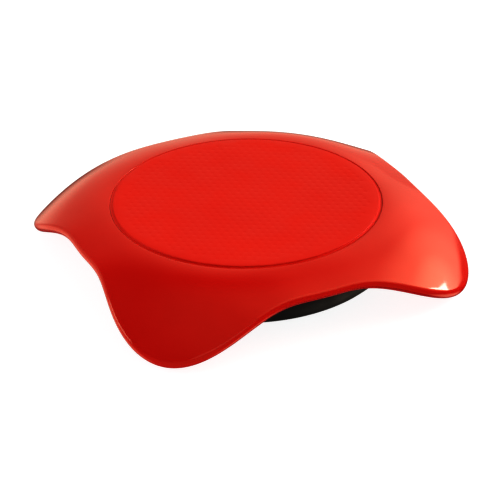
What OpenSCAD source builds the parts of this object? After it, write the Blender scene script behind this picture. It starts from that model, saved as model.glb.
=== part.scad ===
// Microwave-warmed dish stand.
// A round anti-slip pad sits on a four-lobed skirt that hangs like a draped cloth.
// Under it a shallow black bowl holds a heat-storing core between layers of insulation.
// Frame: origin at the centre of the plane that the feet stand on, +Z up, and the four
// lobes point along +X, +Y, -X and -Y. All lengths are millimetres, angles are degrees.

/* [Overall] */
// Height from the feet to the top of the pad
total_h = 41; // [40:0.5:46]
// Radius of the flat top of the round pad that the dish stands on
pad_r = 82; // [78:0.5:83]
// Width of the shallow groove between the pad and the skirt
groove_w = 1.8; // [1.4:0.2:3]
// Depth of the groove below the top of the pad
groove_h = 1.1; // [1:0.1:1.8]
// How far the inner edge of the skirt lies below the top of the pad
edge_drop = 0.8; // [0.5:0.1:0.9]
// Thickness of the pad above the deck
pad_t = 3; // [2.6:0.1:3.4]

/* [Skirt outline] */
// Mean radius of the rim
rim_mean_r = 121.7; // [120:0.5:126]
// How far the lobes reach past the mean, and the valleys fall short of it
rim_swing = 16.4; // [12:0.2:17]
// How pointed the lobes are
rim_point = 2.1; // [0:0.1:3]
// Rounding of the shoulders between lobe and valley
rim_shoulder = 0.7; // [0:0.1:1]

/* [Skirt drape] */
// Mean fall of the rim below the inner edge of the skirt
drop_mean = 15.5; // [14:0.5:17]
// Extra fall at the lobes, and less fall at the valleys
drop_swing = 12.4; // [9:0.2:12.4]
// How much the fall gathers at the lobe tips
drop_point = 3.4; // [2:0.2:3.6]
// Mean power of the curve from the inner edge to the rim
curl_mean = 1.66; // [1.5:0.02:1.8]
// Extra power at the lobes
curl_swing = 0.3; // [0.1:0.02:0.4]

/* [Skirt walls] */
// Wall of the upper red shell
skin_t = 2.2; // [1.8:0.1:2.2]
// Wall of the lower red shell
lining_t = 2; // [1.6:0.1:2]
// Mean radius of the rolled rim
bead_mean_r = 3.4; // [3.2:0.1:3.6]
// Extra radius of the rolled rim at the lobes
bead_swing = 0.6; // [0.2:0.1:0.7]

/* [Base bowl] */
// Widest radius of the bowl
bowl_r = 98; // [97:0.5:98]
// Radius of the rounded lower edge of the bowl
bowl_edge_r = 24.6; // [22:0.2:24.6]
// Wall of the bowl
bowl_t = 2.4; // [2:0.1:2.6]
// Height of the bowl's floor above the table
bowl_lift = 1; // [0.8:0.1:1.4]

/* [Core] */
// Radius of the heat-storing core
core_r = 70; // [64:0.5:70]
// Thickness of the heat-storing core
core_t = 13; // [10:0.5:13]

/* [Feet and screws] */
// Radius of one foot
foot_r = 9; // [7:0.5:9]
// Distance of the feet from the middle
foot_ring_r = 63; // [58:0.5:64]
// Radius of the screws' shanks
screw_r = 2; // [1.6:0.1:2]
// Distance of the screws from the middle
screw_ring_r = 84; // [83:0.5:84.5]

/* [Hidden] */
$fn = 96;

red = [0.80, 0.05, 0.04];
black = [0.06, 0.06, 0.07];

// Pad, its seat in the skirt and the deck under it
seat_r = pad_r + groove_w;              // inner edge of the visible skirt
seat_gap = 0.2;                         // between the pad and the skirt
deck_z = total_h - pad_t;               // top of the deck that carries the pad
edge_z = total_h - edge_drop;           // inner edge of the skirt
groove_z = total_h - groove_h;          // floor of the groove, on the flange of the pad
deck_hole_r = 60;
plug_gap = 0.4;

// Lid of the bowl
lid_t = 2.4;
lid_top_z = deck_z - skin_t;            // the lid carries the deck
lid_flat_r = seat_r + skin_t + 0.8;
flange_r = 101.5;
flange_t = 2.4;
shoulder_drop = 5.4;
flange_z = lid_top_z - shoulder_drop;    // underside of the flange, on the bowl's rim
shoulder_r = bowl_r + 1.5;
rim_w = 5.7;                            // width of the bowl's flat rim
rim_h = 3;

// Seal between the bowl and the lid
seal_w = 2.4;
seal_h = 1.8;
seal_mid_r = bowl_r - 2.8;

// Collar of the lower shell, under the flange
collar_gap = 0.4;
collar_r = bowl_r + collar_gap;

// Inside the bowl
floor_z = bowl_lift + bowl_t;
edge_mid_r = bowl_r - bowl_edge_r;      // centre of the bowl's rounded edge
edge_mid_z = bowl_lift + bowl_edge_r;
sheet_t = 1.5;
core_top_z = lid_top_z - lid_t - sheet_t;
core_z = core_top_z - core_t;
cradle_w = 3.2;
cradle_gap = 0.3;
cradle_floor_t = 3.5;
cradle_z = core_z - cradle_floor_t;
cradle_leg_r = 3;
cradle_leg_ring_r = 67;
disc_r = 56;
disc_hole_r = 7;
ring_in_r = core_r + cradle_gap + cradle_w + 1;
ring_out_r = bowl_r - 7;
ring_z = edge_mid_z - sqrt(pow(bowl_edge_r - bowl_t, 2) - pow(ring_out_r - edge_mid_r, 2));
ring_top_z = 29.4;

// Screws and their posts
post_r = 5.8;
post_gap = 0.5;
post_top_z = 24;
head_r = 3.8;
head_h = 2.6;
head_well_r = 4.2;
head_seat_z = 12;
boss_r = 4.2;
screw_end_z = lid_top_z - lid_t - 3;
screw_turn = 45;

// Feet and vent
foot_t = 2.4;
foot_stem_r = 2.2;
foot_barb_r = 3;
foot_boss_r = 11;
foot_boss_z = 4.6;
barb_h = 1;
vent_r = 3;
vent_head_r = 6;
vent_head_t = 1.2;
vent_lip_r = 4.5;
vent_lip_t = 1.2;

// Mesh of the draped shells
columns = 96;
top_steps = 9;
low_steps = 7;
lip_steps = 4;
eps = 0.01;

// ---- The draped surface, as functions of radius r and angle a ----

function wave(mean, swing, point, a) = mean + swing * cos(4 * a) + point * cos(8 * a);

function rim_r(a) = wave(rim_mean_r, rim_swing, rim_point, a) - rim_shoulder * cos(12 * a);

function bead_r(a) = wave(bead_mean_r, bead_swing, 0, a);

// Height of the upper surface: flat round the pad, and steeper and steeper to the rim
function top_z(r, a) =
    let (fall = wave(drop_mean, drop_swing, drop_point, a))
    let (power = wave(curl_mean, curl_swing, 0, a))
    edge_z - fall * pow(max(0, r - seat_r) / (rim_r(a) - seat_r), power);

// Slope of the upper surface, as the fall per millimetre outwards
function top_fall(r, a) = (top_z(r - eps, a) - top_z(r + eps, a)) / (2 * eps);

// Direction square to the upper surface, as an angle in the plane of the section
function top_square(r, a) = atan2(1, top_fall(r, a));

function along(angle, length) = length * [cos(angle), sin(angle)];

function rim_centre(a) =
    [rim_r(a), top_z(rim_r(a), a)] - along(top_square(rim_r(a), a), bead_r(a));

// Arc of the rolled rim, where turn 0 is the upper surface and 180 the lower one
function rim_arc(a, radius, from, to) = [
    for (i = [0 : lip_steps])
        let (turn = from + (to - from) * i / lip_steps)
        rim_centre(a) + along(top_square(rim_r(a), a) - turn, radius)
];

// Upper surface, lowered square to itself by depth
function top_line(a, depth) = [
    for (i = [1 : top_steps - 1])
        let (r = seat_r + (rim_r(a) - seat_r) * i / top_steps)
        [r, top_z(r, a)] - along(top_square(r, a), depth)
];

// Lower surface of the skirt, raised by lift, from the collar to the rolled rim
function low_line(a, lift) =
    let (end = rim_centre(a) - along(top_square(rim_r(a), a), bead_r(a)))
    let (first_t = top_z(collar_r, a) - (flange_z - lining_t))
    let (last_t = top_z(end[0], a) - end[1])
    [
        for (i = [0 : low_steps - 1])
            let (u = i / low_steps, r = collar_r + (end[0] - collar_r) * u)
            [r, top_z(r, a) - first_t + (first_t - last_t) * u + lift]
    ];

function reversed(list) = [for (i = [len(list) - 1 : -1 : 0]) list[i]];

// Section of the upper shell at angle a, as a closed loop of [radius, height]
function skin_section(a) = concat(
    [
        [deck_hole_r, deck_z - skin_t],
        [deck_hole_r, deck_z],
        [seat_r, deck_z],
        [seat_r, edge_z]
    ],
    top_line(a, 0),
    rim_arc(a, bead_r(a), 0, 90),
    rim_arc(a, bead_r(a) - skin_t, 90, 0),
    reversed(top_line(a, skin_t)),
    [[seat_r + skin_t, deck_z - skin_t]]
);

// Section of the lower shell at angle a
function lining_section(a) = concat(
    reversed(low_line(a, 0)),
    low_line(a, lining_t),
    rim_arc(a, bead_r(a) - lining_t, 180, 90),
    rim_arc(a, bead_r(a), 90, 180)
);

// Closed ring whose section turns and changes with the angle
module draped_ring(sections) {
    n = len(sections[0]);
    points = [
        for (c = [0 : columns - 1])
            for (p = sections[c])
                let (a = 360 * c / columns)
                [p[0] * cos(a), p[0] * sin(a), p[1]]
    ];
    faces = [
        for (c = [0 : columns - 1])
            for (i = [0 : n - 1])
                let (d = (c + 1) % columns, j = (i + 1) % n)
                for (half = [[c * n + i, d * n + i, d * n + j], [c * n + i, d * n + j, c * n + j]])
                    half
    ];
    polyhedron(points, faces);
}

// Places its children at four equal turns
module at_four(ring_r, first_turn) {
    for (k = [0 : 3])
        rotate(first_turn + 90 * k) translate([ring_r, 0, 0]) children();
}

module tube(outer_r, inner_r, bottom, top) {
    translate([0, 0, bottom]) difference() {
        cylinder(r = outer_r, h = top - bottom);
        translate([0, 0, -1]) cylinder(r = inner_r, h = top - bottom + 2);
    }
}

// ---- Sub-parts ----

// Soft anti-slip pad: flat top, low flange that floors the groove, and a plug for the deck
module contact_pad() color(red) rotate_extrude() polygon([
    [0, lid_top_z], [deck_hole_r - plug_gap, lid_top_z], [deck_hole_r - plug_gap, deck_z],
    [seat_r - seat_gap, deck_z], [seat_r - seat_gap, groove_z], [pad_r, groove_z],
    [pad_r, total_h], [0, total_h]
]);

// Upper red shell: deck, seat of the pad, draped top and the upper half of the rolled rim
module outer_skin() color(red)
    draped_ring([for (c = [0 : columns - 1]) skin_section(360 * c / columns)]);

// Lower red shell: collar, underside and the lower half of the rolled rim
module under_skin() color(red)
    draped_ring([for (c = [0 : columns - 1]) lining_section(360 * c / columns)]);

// Lid of the bowl, with the flange that the two red shells trap and four screw bosses
module top_plate() color(black) difference() {
    union() {
        rotate_extrude() polygon([
            [0, lid_top_z - lid_t], [0, lid_top_z],
            [lid_flat_r, lid_top_z], [shoulder_r, flange_z + flange_t],
            [flange_r, flange_z + flange_t], [flange_r, flange_z],
            [bowl_r - rim_w, flange_z], [lid_flat_r - 1.2, lid_top_z - lid_t]
        ]);
        at_four(screw_ring_r, screw_turn) translate([0, 0, post_top_z])
            cylinder(r = boss_r, h = lid_top_z - lid_t - post_top_z + 0.5);
    }
    at_four(screw_ring_r, screw_turn) translate([0, 0, post_top_z - 1])
        cylinder(r = screw_r, h = screw_end_z - post_top_z + 1.5);
}

// Silicone seal in the groove of the bowl's rim
module seal_ring() color("dimgray") rotate_extrude()
    translate([seal_mid_r - 1, flange_z - seal_h]) square([2, seal_h]);

// Soft sheet that carries the heat from the core to the lid
module thermal_sheet() color("silver")
    translate([0, 0, core_top_z]) cylinder(r = core_r - 1, h = sheet_t);

// Heat-storing disc with chamfered edges and a shallow ring groove underneath
module heat_core() color("slategray") rotate_extrude() difference() {
    polygon([
        [0, core_z], [core_r - 1.5, core_z], [core_r, core_z + 1.5],
        [core_r, core_top_z - 1.5], [core_r - 1.5, core_top_z], [0, core_top_z]
    ]);
    translate([28, core_z - 1]) square([6, 4]);
}

// Ring that holds the core clear of the bowl, on four legs
module core_cradle() color("tan") {
    rotate_extrude() {
        translate([cradle_leg_ring_r - 5, cradle_z])
            square([core_r + cradle_gap + cradle_w - cradle_leg_ring_r + 5, cradle_floor_t]);
        translate([core_r + cradle_gap, cradle_z]) square([cradle_w, cradle_floor_t + 6.5]);
    }
    at_four(cradle_leg_ring_r, screw_turn) translate([0, 0, floor_z])
        cylinder(r = cradle_leg_r, h = cradle_z - floor_z + 1);
}

// Insulating disc under the core
module insulation_disc() color("khaki") tube(disc_r, disc_hole_r, foot_boss_z, core_z);

// Insulating ring round the core, with holes for the screw posts
module insulation_ring() color("khaki") difference() {
    tube(ring_out_r, ring_in_r, ring_z, ring_top_z);
    at_four(screw_ring_r, screw_turn) translate([0, 0, ring_z - 1])
        cylinder(r = post_r + post_gap, h = ring_top_z - ring_z + 2);
}

// Black bowl with a flat floor, a widely rounded edge, a flat rim and four screw posts
module base_bowl() color(black) difference() {
    union() {
        rotate_extrude() difference() {
            bowl_outline(0);
            bowl_outline(bowl_t);
            translate([seal_mid_r - seal_w / 2, flange_z - seal_h]) square([seal_w, seal_h + 1]);
        }
        intersection() {
            rotate_extrude() bowl_outline(0);
            union() {
                at_four(screw_ring_r, screw_turn) cylinder(r = post_r, h = post_top_z);
                at_four(foot_ring_r, 0) cylinder(r = foot_boss_r, h = foot_boss_z);
            }
        }
    }
    at_four(screw_ring_r, screw_turn) {
        translate([0, 0, -1]) cylinder(r = head_well_r, h = head_seat_z + 1);
        cylinder(r = screw_r, h = post_top_z + 1);
    }
    at_four(foot_ring_r, 0) {
        cylinder(r = foot_r, h = foot_t);
        cylinder(r = foot_stem_r, h = foot_boss_z + 1);
    }
    cylinder(r = vent_r, h = floor_z + 1);
    cylinder(r = vent_head_r, h = bowl_lift + vent_head_t);
}

// Half outline of the bowl, inset on every side but its rim
module bowl_outline(inset) {
    top = flange_z + (inset > 0 ? 1 : 0);
    difference() {
        union() {
            translate([0, bowl_lift + inset]) square([edge_mid_r, edge_mid_z]);
            intersection() {
                translate([edge_mid_r, edge_mid_z]) circle(bowl_edge_r - inset);
                translate([edge_mid_r - 1, 0]) square([bowl_edge_r + 2, edge_mid_z]);
            }
            translate([0, edge_mid_z]) square([bowl_r - inset, top - edge_mid_z]);
        }
        translate([-1, top]) square([bowl_r + 2, bowl_edge_r * 2]);
        if (inset > 0)
            polygon([
                [bowl_r - rim_w, flange_z + 2], [bowl_r - rim_w, flange_z - rim_h],
                [bowl_r, flange_z - rim_h - rim_w], [bowl_r, flange_z + 2]
            ]);
    }
}

// Breathing plug in the middle of the floor
module vent_plug() color("gray") {
    translate([0, 0, bowl_lift]) cylinder(r = vent_head_r - 0.2, h = vent_head_t);
    translate([0, 0, bowl_lift]) cylinder(r = vent_r, h = bowl_t + eps);
    translate([0, 0, floor_z]) cylinder(r = vent_lip_r, h = vent_lip_t);
}

// One soft foot with a stem and a barb that snaps through the floor
module foot(turn) color("gray") rotate(turn) translate([foot_ring_r, 0, 0]) rotate_extrude() {
    polygon([
        [0, 0], [foot_r - 0.8, 0], [foot_r - 0.2, 0.6], [foot_r - 0.2, foot_t],
        [foot_stem_r, foot_t], [foot_stem_r, foot_boss_z], [foot_barb_r, foot_boss_z],
        [foot_stem_r - 0.6, foot_boss_z + barb_h], [0, foot_boss_z + barb_h]
    ]);
}

module foot_east() foot(0);
module foot_north() foot(90);
module foot_west() foot(180);
module foot_south() foot(270);

// Four plastic screws, from below through the bowl's posts into the lid's bosses
module base_screws() color("white") at_four(screw_ring_r, screw_turn) difference() {
    union() {
        translate([0, 0, head_seat_z - head_h]) cylinder(r = head_r, h = head_h);
        translate([0, 0, head_seat_z - eps]) cylinder(r = screw_r, h = screw_end_z - head_seat_z);
    }
    for (turn = [0, 90]) rotate(turn)
        translate([-2.2, -0.5, head_seat_z - head_h - 1]) cube([4.4, 1, 2.4]);
}

contact_pad();
outer_skin();
under_skin();
top_plate();
seal_ring();
thermal_sheet();
heat_core();
core_cradle();
insulation_disc();
insulation_ring();
base_bowl();
vent_plug();
foot_east();
foot_north();
foot_west();
foot_south();
base_screws();
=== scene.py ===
"""Looks of the dish-warming stand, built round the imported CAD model. Lengths named in millimetres are
turned into metres by MM. The four lobes point along the X and Y axes, and +Z is up."""

import math

import bpy
import numpy as np
from mathutils import Matrix, Vector
from mathutils.geometry import delaunay_2d_cdt


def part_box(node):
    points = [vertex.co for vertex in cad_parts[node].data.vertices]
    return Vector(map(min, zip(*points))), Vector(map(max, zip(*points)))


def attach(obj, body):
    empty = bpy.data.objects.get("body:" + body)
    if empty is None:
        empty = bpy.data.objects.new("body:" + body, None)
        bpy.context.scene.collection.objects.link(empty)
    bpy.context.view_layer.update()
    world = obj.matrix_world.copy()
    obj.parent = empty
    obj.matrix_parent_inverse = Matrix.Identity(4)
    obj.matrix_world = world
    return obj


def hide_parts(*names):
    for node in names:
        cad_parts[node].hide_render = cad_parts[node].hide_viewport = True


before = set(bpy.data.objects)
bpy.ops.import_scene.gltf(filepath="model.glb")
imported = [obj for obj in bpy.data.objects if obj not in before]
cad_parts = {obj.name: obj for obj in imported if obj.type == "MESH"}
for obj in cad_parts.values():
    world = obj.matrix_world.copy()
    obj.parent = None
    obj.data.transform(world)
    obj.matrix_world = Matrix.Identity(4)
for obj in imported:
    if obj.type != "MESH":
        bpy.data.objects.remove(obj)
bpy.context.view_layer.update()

MM = 0.001
BODY = "root"

# ---- Sizes, in millimetres. Those of the pad are read off the imported contact pad ----

pad_low, pad_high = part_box("contact_pad")
TOTAL_H = round(pad_high.z / MM, 2)
PAD_FOOT_R = round(pad_high.x / MM, 1)
SEAT_R = PAD_FOOT_R + 0.2
PAD_R = SEAT_R - 1.8
SKIN_T = 2.2
DECK_Z = round(pad_low.z / MM, 2) + SKIN_T
DECK_HOLE_R = 60.0
PLUG_R = DECK_HOLE_R - 0.4
EDGE_Z = TOTAL_H - 0.8
EDGE_ROUND = 0.3
GROOVE_Z = TOTAL_H - 1.1

LINING_T = 2.0
SHELL_SPACE = 5.4
COLLAR_R = 98.4
COLLAR_Z = DECK_Z - SKIN_T - SHELL_SPACE - LINING_T

PAD_ROUND = 0.5
PAD_FLAT_R = PAD_R - PAD_ROUND
FOOT_ROUND = 0.4
DIMPLE_PITCH = 5.38
DIMPLE_R = 1.3
DIMPLE_DEPTH = 0.06
DIMPLE_FIELD_R = 0.92 * PAD_R
DIMPLE_TURN = math.radians(135)
DIMPLE_STEPS = 20
# Section of a dimple from its lip inwards: share of its radius, share of its depth
DIMPLE_SECTION = [(0.95, 0.06)] + [(0.93 * math.cos(t), math.sin(t)) for t in np.linspace(0.2, 1.45, 5)]

COLUMNS = 480
TOP_STEPS = 44
LIP_STEPS = 14
LOW_STEPS = 20
PAD_COLUMNS = 256
CORNER_ROUND = 0.25
PARTING_GAP = 3.0  # degrees of the rolled rim left open on each side of the parting line


# ---- The draped surface, as functions of radius r and angle a (numpy arrays) ----


def wave(mean, swing, point, a):
    return mean + swing * np.cos(4 * a) + point * np.cos(8 * a)


def rim_r(a):
    return wave(121.7, 16.4, 2.1, a) - 0.7 * np.cos(12 * a)


def bead_r(a):
    return wave(3.4, 0.6, 0, a)


def rim_drop(a):
    return wave(15.5, 12.4, 3.4, a)


def curl(a):
    return wave(1.66, 0.3, 0, a)


def reach(r, a):
    """Share of the way from the seat of the pad to the rim."""
    return np.maximum(0, r - SEAT_R) / (rim_r(a) - SEAT_R)


def top_z(r, a):
    return EDGE_Z - rim_drop(a) * reach(r, a) ** curl(a)


def top_square(r, a):
    """Angle of the direction square to the upper surface, in the plane of the section."""
    fall = rim_drop(a) * curl(a) * reach(r, a) ** (curl(a) - 1) / (rim_r(a) - SEAT_R)
    return np.arctan2(1, fall)


def rim_point(a, turn, radius):
    """Point on the rolled rim, where turn 0 is on the upper surface and 180 on the lower one."""
    square = top_square(rim_r(a), a)
    angle = square - math.radians(turn)
    r = rim_r(a) - bead_r(a) * np.cos(square) + radius * np.cos(angle)
    z = top_z(rim_r(a), a) - bead_r(a) * np.sin(square) + radius * np.sin(angle)
    return r, z


def top_point(a, share, depth):
    r = SEAT_R + EDGE_ROUND + (rim_r(a) - SEAT_R - EDGE_ROUND) * share
    square = top_square(r, a)
    return r - depth * np.cos(square), top_z(r, a) - depth * np.sin(square)


def low_point(a, share, lift):
    """Lower surface of the skirt, from the collar to the rolled rim."""
    end_r, end_z = rim_point(a, 180, bead_r(a))
    first = top_z(COLLAR_R, a) - COLLAR_Z
    last = top_z(end_r, a) - end_z
    r = COLLAR_R + (end_r - COLLAR_R) * share
    return r, top_z(r, a) - first + (first - last) * share + lift


def skin_section(a):
    whole = np.ones_like(a)
    inner = bead_r(a) - SKIN_T
    line = [(r * whole, z * whole) for r, z in (
        (DECK_HOLE_R, DECK_Z - SKIN_T),
        (DECK_HOLE_R, DECK_Z),
        (SEAT_R, DECK_Z),
    )]
    for turn in np.linspace(180, 90, 5):
        corner = math.radians(turn)
        line.append((
            (SEAT_R + EDGE_ROUND * (1 + math.cos(corner))) * whole,
            (EDGE_Z - EDGE_ROUND * (1 - math.sin(corner))) * whole,
        ))
    line += [top_point(a, i / TOP_STEPS, 0) for i in range(1, TOP_STEPS)]
    line += [rim_point(a, t, bead_r(a)) for t in np.linspace(0, 90 - PARTING_GAP, LIP_STEPS)]
    line += [rim_point(a, t, inner) for t in np.linspace(90 - PARTING_GAP, 0, 4)]
    line += [top_point(a, i / LOW_STEPS, SKIN_T) for i in range(LOW_STEPS - 1, 0, -1)]
    line.append(((SEAT_R + SKIN_T) * whole, (DECK_Z - SKIN_T) * whole))
    return line


def lining_section(a):
    inner = bead_r(a) - LINING_T
    line = [low_point(a, i / LOW_STEPS, 0) for i in range(LOW_STEPS - 1, -1, -1)]
    line += [low_point(a, i / LOW_STEPS, LINING_T) for i in range(LOW_STEPS)]
    line += [rim_point(a, t, inner) for t in np.linspace(180, 90 + PARTING_GAP, 4)]
    line += [rim_point(a, t, bead_r(a)) for t in np.linspace(90 + PARTING_GAP, 180, LIP_STEPS)]
    return line


# ---- Mesh helpers ----


def new_piece(name, points, faces, slot, *replaced):
    mesh = bpy.data.meshes.new(name)
    mesh.from_pydata([tuple(p) for p in points], [], faces)
    mesh.validate()
    piece = bpy.data.objects.new(name, mesh)
    bpy.context.scene.collection.objects.link(piece)
    mesh.shade_smooth()
    mesh.set_sharp_from_angle(angle=math.radians(28))
    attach(piece, BODY)
    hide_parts(*replaced)
    return piece


def ring(section, columns):
    """Points and quads of a closed ring whose section is a closed line, as a function of the angle."""
    a = np.arange(columns) * 2 * math.pi / columns
    line = section(a)
    n = len(line)
    points = np.zeros((columns, n, 3))
    for i, (r, z) in enumerate(line):
        points[:, i, 0] = r * np.cos(a)
        points[:, i, 1] = r * np.sin(a)
        points[:, i, 2] = z
    faces = []
    for c in range(columns):
        d = (c + 1) % columns
        for i in range(n):
            j = (i + 1) % n
            faces.append((c * n + i, c * n + j, d * n + j, d * n + i))
    return points.reshape(-1, 3) * MM, faces


def soften(piece, width):
    """Small round on the hard corners. The width is in millimetres."""
    bevel = piece.modifiers.new("soft_corners", "BEVEL")
    bevel.limit_method = "ANGLE"
    bevel.angle_limit = math.radians(40)
    bevel.width = width * MM
    bevel.segments = 3


# ---- Pieces ----


def make_shells():
    points, faces = ring(skin_section, COLUMNS)
    skin = new_piece("upper_shell", points, faces, "red_shell", "outer_skin")
    soften(skin, CORNER_ROUND)
    points, faces = ring(lining_section, COLUMNS)
    lining = new_piece("lower_shell", points, faces, "red_lining", "under_skin")
    soften(lining, CORNER_ROUND)
    return skin, lining


def dimple_centres():
    along = Vector((math.cos(DIMPLE_TURN), math.sin(DIMPLE_TURN))) * DIMPLE_PITCH
    across = Matrix.Rotation(math.radians(60), 2) @ along
    most = int(2 * PAD_R / DIMPLE_PITCH)
    centres = [along * i + across * j for i in range(-most, most) for j in range(-most, most)]
    return [c for c in centres if c.length <= DIMPLE_FIELD_R]


def unit_circle(steps):
    return [(math.cos(t), math.sin(t)) for t in np.arange(steps) * 2 * math.pi / steps]


def bridge(faces, outer, inner):
    """Quads between two loops of equal length, for a surface seen from above."""
    for i in range(len(outer)):
        j = (i + 1) % len(outer)
        faces.append((outer[i], outer[j], inner[j], inner[i]))


def pad_edge():
    """Radius and height from the edge of the pad's flat top, over its wall and groove, to its plug."""
    line = []
    for turn in (22.5, 45, 67.5, 90):
        across, along = math.sin(math.radians(turn)), math.cos(math.radians(turn))
        line.append((PAD_FLAT_R + PAD_ROUND * across, TOTAL_H - PAD_ROUND * (1 - along)))
    for turn in (0, 30, 60, 90):
        across, along = math.sin(math.radians(turn)), math.cos(math.radians(turn))
        line.append((PAD_R + FOOT_ROUND * (1 - along), GROOVE_Z + FOOT_ROUND * (1 - across)))
    return line + [
        (PAD_FOOT_R - 0.6, GROOVE_Z),
        (PAD_FOOT_R - 0.2, GROOVE_Z + 0.05),
        (PAD_FOOT_R, GROOVE_Z + 0.15),
        (PAD_FOOT_R, DECK_Z),
        (PLUG_R, DECK_Z),
        (PLUG_R, DECK_Z - SKIN_T),
    ]


def flat_top(centres):
    """Flat top cut round each dimple: its points, its faces, and the loops of the rim and the dimples."""
    outline = [Vector((PAD_FLAT_R * x, PAD_FLAT_R * y)) for x, y in unit_circle(PAD_COLUMNS)]
    loops = [list(range(PAD_COLUMNS))]
    for centre in centres:
        loops.append(list(range(len(outline), len(outline) + DIMPLE_STEPS)))
        outline += [centre + Vector(p) * DIMPLE_R for p in unit_circle(DIMPLE_STEPS)]
    edges = [(loop[i], loop[(i + 1) % len(loop)]) for loop in loops for i in range(len(loop))]
    flat, _, triangles, _, _, _ = delaunay_2d_cdt(outline, edges, [], 0, 1e-5)
    owner = [k for k, loop in enumerate(loops) for _ in loop]
    faces = []
    for t in triangles:
        owners = {owner[v] for v in t}
        # A triangle with all its corners on one dimple's loop is inside that dimple
        if len(owners) > 1 or owners == {0}:
            faces.append(tuple(t))
    return [(p.x, p.y, TOTAL_H) for p in flat], faces, loops


def make_pad():
    centres = dimple_centres()
    points, faces, loops = flat_top(centres)
    for centre, loop in zip(centres, loops[1:]):
        last = loop
        for share, depth in DIMPLE_SECTION:
            base = len(points)
            points += [
                (centre.x + DIMPLE_R * share * x, centre.y + DIMPLE_R * share * y,
                 TOTAL_H - DIMPLE_DEPTH * depth)
                for x, y in unit_circle(DIMPLE_STEPS)
            ]
            level = list(range(base, base + DIMPLE_STEPS))
            bridge(faces, last, level)
            last = level
        faces.append(tuple(last))
    last = loops[0]
    for r, z in pad_edge():
        base = len(points)
        points += [(r * x, r * y, z) for x, y in unit_circle(PAD_COLUMNS)]
        level = list(range(base, base + PAD_COLUMNS))
        bridge(faces, level, last)
        last = level
    faces.append(tuple(reversed(last)))
    scaled = [(x * MM, y * MM, z * MM) for x, y, z in points]
    return new_piece("dimpled_pad", scaled, faces, "pad_rubber", "contact_pad")


# ---- Materials ----


def material(name):
    made = bpy.data.materials.new(name)
    made.use_nodes = True
    return made, made.node_tree, made.node_tree.nodes["Principled BSDF"]


def noise(tree, scale, detail=2.0, roughness=0.5):
    where = tree.nodes.new("ShaderNodeTexCoord")
    node = tree.nodes.new("ShaderNodeTexNoise")
    node.inputs["Scale"].default_value = scale
    node.inputs["Detail"].default_value = detail
    node.inputs["Roughness"].default_value = roughness
    tree.links.new(where.outputs["Object"], node.inputs["Vector"])
    return node.outputs["Fac"]


def spread(tree, value, low, high, start=0.35, end=0.65, smooth=False):
    """Value between start and end, carried over to between low and high."""
    node = tree.nodes.new("ShaderNodeMapRange")
    if smooth:
        node.interpolation_type = "SMOOTHSTEP"
    node.inputs["From Min"].default_value = start
    node.inputs["From Max"].default_value = end
    node.inputs["To Min"].default_value = low
    node.inputs["To Max"].default_value = high
    tree.links.new(value, node.inputs["Value"])
    return node.outputs["Result"]


def blend(tree, value, dark, light):
    node = tree.nodes.new("ShaderNodeMix")
    node.data_type = "RGBA"
    node.inputs["A"].default_value = (*dark, 1)
    node.inputs["B"].default_value = (*light, 1)
    tree.links.new(value, node.inputs["Factor"])
    return node.outputs["Result"]


def bump(tree, height, strength, distance, normal=None):
    node = tree.nodes.new("ShaderNodeBump")
    node.inputs["Strength"].default_value = strength
    node.inputs["Distance"].default_value = distance
    tree.links.new(height, node.inputs["Height"])
    if normal is not None:
        tree.links.new(normal, node.inputs["Normal"])
    return node.outputs["Normal"]


def moulded_plastic(name, dark, light, rough_low, rough_high, grain, gloss=0.5, tint=(1, 1, 1)):
    """Moulded plastic: faint flow mottling, uneven gloss, orange peel and a fine grain."""
    made, tree, shader = material(name)
    mottling = spread(tree, noise(tree, 18, 3), 0, 1)
    tree.links.new(blend(tree, mottling, dark, light), shader.inputs["Base Color"])
    rough = spread(tree, noise(tree, 60, 4, 0.6), rough_low, rough_high)
    tree.links.new(rough, shader.inputs["Roughness"])
    peel = bump(tree, noise(tree, 130, 1), 0.25, 0.00002)
    fine = bump(tree, noise(tree, 2600, 2), grain, 0.00003, peel)
    tree.links.new(fine, shader.inputs["Normal"])
    shader.inputs["Specular IOR Level"].default_value = gloss
    shader.inputs["Specular Tint"].default_value = (*tint, 1)
    return made


def soft_rubber(name, dark, light, rough_low, rough_high):
    """Silicone: hazy patches, satin surface and a fine tooth."""
    made, tree, shader = material(name)
    haze = spread(tree, noise(tree, 22, 4, 0.55), 0, 1, 0.42, 0.74)
    tree.links.new(blend(tree, haze, dark, light), shader.inputs["Base Color"])
    satin = spread(tree, noise(tree, 45, 3), rough_low, rough_high)
    tree.links.new(satin, shader.inputs["Roughness"])
    shader.inputs["Specular IOR Level"].default_value = 0.36
    tooth = bump(tree, noise(tree, 1500, 3, 0.6), 0.35, 0.00004)
    tree.links.new(tooth, shader.inputs["Normal"])
    return made


def felt(name, dark, light):
    made, tree, shader = material(name)
    fibres = spread(tree, noise(tree, 900, 6, 0.7), 0, 1)
    tree.links.new(blend(tree, fibres, dark, light), shader.inputs["Base Color"])
    shader.inputs["Roughness"].default_value = 0.95
    shader.inputs["Sheen Weight"].default_value = 0.3
    tree.links.new(bump(tree, fibres, 0.8, 0.0003), shader.inputs["Normal"])
    return made


def dress(piece, made):
    piece.data.materials.clear()
    piece.data.materials.append(made)


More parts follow.
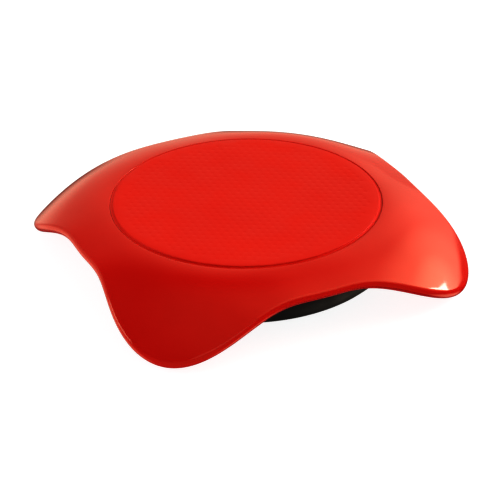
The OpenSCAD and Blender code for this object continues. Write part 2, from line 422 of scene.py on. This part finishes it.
def dress_all(skin, lining, pad):
    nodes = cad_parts
    # The red gloss's warm specular tint (1, 0.86, 0.64) is painted warm light on its reflections, standing
    # in for a warm studio light
    red = moulded_plastic("red_gloss", (0.69, 0.012, 0.008), (0.73, 0.017, 0.012), 0.05, 0.09, 0.03,
                          0.7, (1, 0.86, 0.64))
    dress(skin, red)
    dress(lining, moulded_plastic(
        "red_lining", (0.58, 0.012, 0.016), (0.66, 0.018, 0.022), 0.18, 0.30, 0.06))
    dress(pad, soft_rubber("red_silicone", (0.76, 0.015, 0.002), (0.79, 0.020, 0.003), 0.38, 0.50))
    dress(nodes["base_bowl"], moulded_plastic(
        "bowl_black", (0.020, 0.019, 0.018), (0.028, 0.026, 0.025), 0.38, 0.52, 0.25, 0.15))
    lid = moulded_plastic("lid_black", (0.010, 0.010, 0.010), (0.016, 0.016, 0.017), 0.4, 0.6, 0.2)
    dress(nodes["top_plate"], lid)
    foot = soft_rubber("foot_silicone", (0.020, 0.020, 0.022), (0.045, 0.045, 0.048), 0.55, 0.75)
    for name in ("foot_east", "foot_north", "foot_west", "foot_south", "vent_plug"):
        dress(nodes[name], foot)
    dress(nodes["seal_ring"], soft_rubber(
        "seal_silicone", (0.10, 0.10, 0.11), (0.16, 0.16, 0.17), 0.5, 0.7))
    dress(nodes["thermal_sheet"], soft_rubber(
        "thermal_silicone", (0.40, 0.40, 0.39), (0.50, 0.50, 0.48), 0.6, 0.8))
    dress(nodes["heat_core"], soft_rubber(
        "core_compound", (0.05, 0.05, 0.055), (0.09, 0.09, 0.095), 0.6, 0.85))
    dress(nodes["core_cradle"], moulded_plastic(
        "cradle_natural", (0.42, 0.30, 0.18), (0.50, 0.38, 0.24), 0.4, 0.55, 0.15))
    wool = felt("glass_felt", (0.42, 0.36, 0.24), (0.66, 0.60, 0.46))
    dress(nodes["insulation_disc"], wool)
    dress(nodes["insulation_ring"], wool)
    dress(nodes["base_screws"], moulded_plastic(
        "nylon_natural", (0.62, 0.60, 0.54), (0.70, 0.68, 0.62), 0.35, 0.5, 0.1))


# ---- Surroundings: floor, lights and camera ----

CAMERA_AZIMUTH = math.radians(-69.87)
CAMERA_ELEVATION = math.radians(29.7)
CAMERA_DISTANCE = 1.2925
CAMERA_LENS = 151.25
CAMERA_ROLL = math.radians(-0.83)
AIM_RIGHT = 0.0020
AIM_UP = -0.0314

FLOOR_HALF = 6.0
AIM_HEIGHT = 0.03

# Glows of the studio: azimuth and elevation in degrees, spread in degrees, strength, and the strength
# all round where it isn't nothing. The first two groups are cut off below, at these sines of elevation
RIGHT_GLOWS = ((25, 21, 18, 2.2), (27, 24, 32, 2.0), (27, 24, 60, 1.3))
RIGHT_CUT = (0.162, 0.187)
BACK_GLOWS = ((88, 8, 55, 0.95, 0.15), (165, 18, 42, 1.0))
BACK_CUT = (-0.42, -0.12)
OPEN_GLOWS = (
    (5, 62, 35, 1.0),
    (-90, 80, 40, 0.35),
    (128, -16, 30, 0.6),
    (165, -30, 40, 1.3),
    (12, -48, 28, 2.0),
    (-105, -35, 75, 0.4),
)


def bearing(azimuth, elevation):
    """Direction from the middle of the pad, with the azimuth counted from the camera's right."""
    turn = CAMERA_AZIMUTH + math.pi / 2 + azimuth
    return Vector((
        math.cos(elevation) * math.cos(turn),
        math.cos(elevation) * math.sin(turn),
        math.sin(elevation),
    ))


def soft_box(name, azimuth, elevation, distance, width, height, power, roll=0, colour=(1, 1, 1)):
    """Rectangular lamp aimed at the stand, hidden from the camera. Angles are in degrees."""
    data = bpy.data.lights.new(name, "AREA")
    data.shape = "RECTANGLE"
    data.size = width
    data.size_y = height
    data.energy = power
    data.color = colour
    lamp = bpy.data.objects.new(name, data)
    bpy.context.scene.collection.objects.link(lamp)
    away = bearing(math.radians(azimuth), math.radians(elevation))
    lamp.location = Vector((0, 0, AIM_HEIGHT)) + away * distance
    turn = away.to_track_quat("Z", "Y").to_matrix() @ Matrix.Rotation(math.radians(roll), 3, "Z")
    lamp.rotation_euler = turn.to_euler()
    lamp.visible_camera = False


def make_floor():
    mesh = bpy.data.meshes.new("floor")
    corners = [(x * FLOOR_HALF, y * FLOOR_HALF, 0) for x, y in ((-1, -1), (1, -1), (1, 1), (-1, 1))]
    mesh.from_pydata(corners, [], [(0, 1, 2, 3)])
    floor = bpy.data.objects.new("floor", mesh)
    bpy.context.scene.collection.objects.link(floor)
    floor.visible_glossy = False
    made, _, shader = material("floor_paper")
    shader.inputs["Base Color"].default_value = (0.18, 0.20, 0.23, 1)
    shader.inputs["Roughness"].default_value = 0.9
    shader.inputs["Emission Color"].default_value = (1, 1, 1, 1)
    shader.inputs["Emission Strength"].default_value = 0.92
    mesh.materials.append(made)


def combine(tree, operation, first, second):
    node = tree.nodes.new("ShaderNodeMath")
    node.operation = operation
    tree.links.new(first, node.inputs[0])
    tree.links.new(second, node.inputs[1])
    return node.outputs["Value"]


def glow(tree, where, azimuth, elevation, spread_angle, strength, around=0.0):
    """Soft round light on the studio wall: full in its middle, and down to `around` at the spread angle."""
    node = tree.nodes.new("ShaderNodeVectorMath")
    node.operation = "DOT_PRODUCT"
    node.inputs[1].default_value = bearing(math.radians(azimuth), math.radians(elevation))
    tree.links.new(where, node.inputs[0])
    edge = math.cos(math.radians(spread_angle))
    return spread(tree, node.outputs["Value"], around, strength, edge, 1, True)


def all_glows(tree, where, rows):
    level = glow(tree, where, *rows[0])
    for row in rows[1:]:
        level = combine(tree, "ADD", level, glow(tree, where, *row))
    return level


def make_world():
    """Dim studio with a large soft light at the right and the back, graded from bright to dim."""
    world = bpy.data.worlds.new("studio")
    world.use_nodes = True
    tree = world.node_tree
    where = tree.nodes.new("ShaderNodeTexCoord").outputs["Generated"]
    split = tree.nodes.new("ShaderNodeSeparateXYZ")
    tree.links.new(where, split.inputs["Vector"])
    height = split.outputs["Z"]
    right = all_glows(tree, where, RIGHT_GLOWS)
    right = combine(tree, "MULTIPLY", right, spread(tree, height, 0.04, 1, *RIGHT_CUT, True))
    back = all_glows(tree, where, BACK_GLOWS)
    back = combine(tree, "MULTIPLY", back, spread(tree, height, 0.15, 1, *BACK_CUT, True))
    level = combine(tree, "ADD", right, back)
    level = combine(tree, "ADD", level, all_glows(tree, where, OPEN_GLOWS))
    tree.nodes["Background"].inputs["Color"].default_value = (1, 0.88, 0.70, 1)
    tree.links.new(level, tree.nodes["Background"].inputs["Strength"])
    bpy.context.scene.world = world


def make_lights():
    soft_box("right_back", 22, 19, 1.5, 0.26, 0.34, 3.2, 32, (0.74, 0.86, 1))
    soft_box("front", -85, 34, 1.6, 1.4, 0.8, 3.2)
    soft_box("left", 188, 24, 1.6, 0.9, 0.6, 6)


def make_camera():
    data = bpy.data.cameras.new("camera")
    data.lens = CAMERA_LENS
    data.sensor_width = 36
    data.clip_end = 30
    camera = bpy.data.objects.new("camera", data)
    bpy.context.scene.collection.objects.link(camera)
    away = bearing(-math.pi / 2, CAMERA_ELEVATION)
    right = bearing(0, 0)
    up = away.cross(right)
    middle = Vector((0, 0, TOTAL_H * MM))
    camera.location = middle + right * AIM_RIGHT + up * AIM_UP + away * CAMERA_DISTANCE
    turn = Matrix((right, up, away)).transposed() @ Matrix.Rotation(CAMERA_ROLL, 3, "Z")
    camera.rotation_euler = turn.to_euler()
    bpy.context.scene.camera = camera


skin, lining = make_shells()
pad = make_pad()
dress_all(skin, lining, pad)
make_floor()
make_world()
make_lights()
make_camera()
bpy.context.scene.view_settings.view_transform = "Standard"
bpy.context.scene.view_settings.gamma = 0.58
